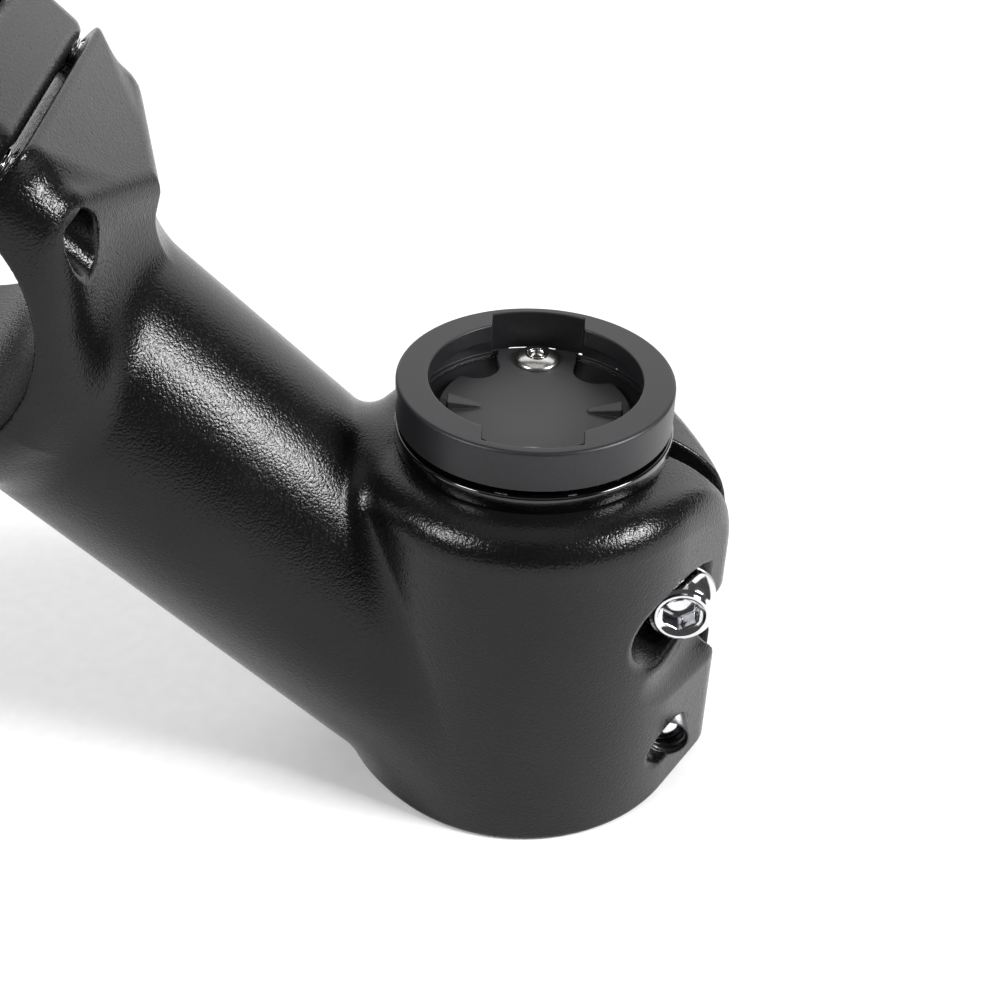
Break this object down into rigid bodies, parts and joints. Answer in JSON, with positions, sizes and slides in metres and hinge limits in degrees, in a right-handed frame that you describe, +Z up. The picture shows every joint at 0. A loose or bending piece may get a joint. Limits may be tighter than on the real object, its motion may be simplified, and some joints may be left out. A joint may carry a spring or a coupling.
{
  "type": "bicycle stem with cycling computer socket",
  "caption": "Angled handlebar stem with a bolted face plate and a quarter-turn cycling computer socket on its headset cap.",
  "frame": {"origin": "steerer axis at the bottom face of the steerer clamp", "axes": "+X forward towards the handlebar, +Y left along the handlebar, +Z up the steerer axis"},
  "size_m": [0.1117, 0.0408, 0.091],
  "materials": {
    "powder_coat": "black powder coat with a fine grain, semi-gloss",
    "gloss_anodised": "polished and anodised black, glossy",
    "satin_anodised": "turned and anodised black, satin",
    "moulded_plastic": "moulded, semi-matt, textured ramps",
    "rubber": "moulded, matt",
    "black_steel": "black oxide on steel",
    "stainless": "turned, satin",
    "polished_steel": "polished",
    "zinc_plate": "plated, satin"
  },
  "bodies": {
    "stem": {"stem_body": "powder_coat"},
    "upper_washer": {"steerer_washer_upper": "zinc_plate"},
    "upper_bolt": {"steerer_bolt_upper": "polished_steel"},
    "lower_washer": {"steerer_washer_lower": "zinc_plate"},
    "lower_bolt": {"steerer_bolt_lower": "polished_steel"},
    "face_plate": {"face_plate": "powder_coat"},
    "cap_seal": {"cap_o_ring": "rubber"},
    "cap": {"cap_base": "gloss_anodised", "socket_ring": "satin_anodised", "detent_plate": "moulded_plastic", "plate_screw_far": "stainless", "plate_screw_near": "stainless"},
    "preload_bolt": {"preload_bolt": "black_steel"},
    "bar_washer_upper_left": {"bar_washer_upper_left": "zinc_plate"},
    "bar_bolt_upper_left": {"bar_bolt_upper_left": "polished_steel"},
    "bar_washer_upper_right": {"bar_washer_upper_right": "zinc_plate"},
    "bar_bolt_upper_right": {"bar_bolt_upper_right": "polished_steel"},
    "bar_washer_lower_left": {"bar_washer_lower_left": "zinc_plate"},
    "bar_bolt_lower_left": {"bar_bolt_lower_left": "polished_steel"},
    "bar_washer_lower_right": {"bar_washer_lower_right": "zinc_plate"},
    "bar_bolt_lower_right": {"bar_bolt_lower_right": "polished_steel"}
  },
  "joints": [
    {"name": "upper_bolt_travel", "type": "slide", "parent": "stem", "child": "upper_washer", "axis": [0, 1, 0], "range_m": [0, 0.01]},
    {"name": "upper_bolt_turn", "type": "hinge", "parent": "upper_washer", "child": "upper_bolt", "pos_m": [-0.0171, 0.0069, 0.0264], "axis": [0, 1, 0], "range_deg": [0, 4501]},
    {"name": "lower_bolt_travel", "type": "slide", "parent": "stem", "child": "lower_washer", "axis": [0, -1, 0], "range_m": [0, 0.01]},
    {"name": "lower_bolt_turn", "type": "hinge", "parent": "lower_washer", "child": "lower_bolt", "pos_m": [-0.0171, -0.0069, 0.0075], "axis": [0, -1, 0], "range_deg": [0, 4501]},
    {"name": "face_plate_off", "type": "slide", "parent": "stem", "child": "face_plate", "axis": [0.7071, 0, 0.7071], "range_m": [0, 0.03]},
    {"name": "bar_bolt_upper_left_travel", "type": "slide", "parent": "face_plate", "child": "bar_washer_upper_left", "axis": [0.7071, 0, 0.7071], "range_m": [0, 0.01]},
    {"name": "bar_bolt_upper_left_turn", "type": "hinge", "parent": "bar_washer_upper_left", "child": "bar_bolt_upper_left", "pos_m": [0.05643, 0.0145, 0.08588], "axis": [0.7071, 0, 0.7071], "range_deg": [0, 4501]},
    {"name": "bar_bolt_upper_right_travel", "type": "slide", "parent": "face_plate", "child": "bar_washer_upper_right", "axis": [0.7071, 0, 0.7071], "range_m": [0, 0.01]},
    {"name": "bar_bolt_upper_right_turn", "type": "hinge", "parent": "bar_washer_upper_right", "child": "bar_bolt_upper_right", "pos_m": [0.05643, -0.0145, 0.08588], "axis": [0.7071, 0, 0.7071], "range_deg": [0, 4501]},
    {"name": "bar_bolt_lower_left_travel", "type": "slide", "parent": "face_plate", "child": "bar_washer_lower_left", "axis": [0.7071, 0, 0.7071], "range_m": [0, 0.01]},
    {"name": "bar_bolt_lower_left_turn", "type": "hinge", "parent": "bar_washer_lower_left", "child": "bar_bolt_lower_left", "pos_m": [0.08358, 0.0145, 0.05873], "axis": [0.7071, 0, 0.7071], "range_deg": [0, 4501]},
    {"name": "bar_bolt_lower_right_travel", "type": "slide", "parent": "face_plate", "child": "bar_washer_lower_right", "axis": [0.7071, 0, 0.7071], "range_m": [0, 0.01]},
    {"name": "bar_bolt_lower_right_turn", "type": "hinge", "parent": "bar_washer_lower_right", "child": "bar_bolt_lower_right", "pos_m": [0.08358, -0.0145, 0.05873], "axis": [0.7071, 0, 0.7071], "range_deg": [0, 4501]},
    {"name": "cap_lift", "type": "slide", "parent": "stem", "child": "cap_seal", "axis": [0, 0, 1], "range_m": [0, 0.012]},
    {"name": "cap_turn", "type": "hinge", "parent": "cap_seal", "child": "cap", "pos_m": [0, 0, 0.0433], "axis": [0, 0, 1], "continuous": true},
    {"name": "preload_turn", "type": "hinge", "parent": "cap_seal", "child": "preload_bolt", "pos_m": [0, 0, 0.04], "axis": [0, 0, 1], "range_deg": [0, 4321]}
  ],
  "couplings": [
    {"joint": "upper_bolt_turn", "follows": "upper_bolt_travel", "rad_per_m": 7854},
    {"joint": "lower_bolt_turn", "follows": "lower_bolt_travel", "rad_per_m": 7854},
    {"joint": "bar_bolt_upper_left_turn", "follows": "bar_bolt_upper_left_travel", "rad_per_m": 7854},
    {"joint": "bar_bolt_upper_right_turn", "follows": "bar_bolt_upper_right_travel", "rad_per_m": 7854},
    {"joint": "bar_bolt_lower_left_turn", "follows": "bar_bolt_lower_left_travel", "rad_per_m": 7854},
    {"joint": "bar_bolt_lower_right_turn", "follows": "bar_bolt_lower_right_travel", "rad_per_m": 7854},
    {"joint": "preload_turn", "follows": "cap_lift", "rad_per_m": 6283.2}
  ]
}
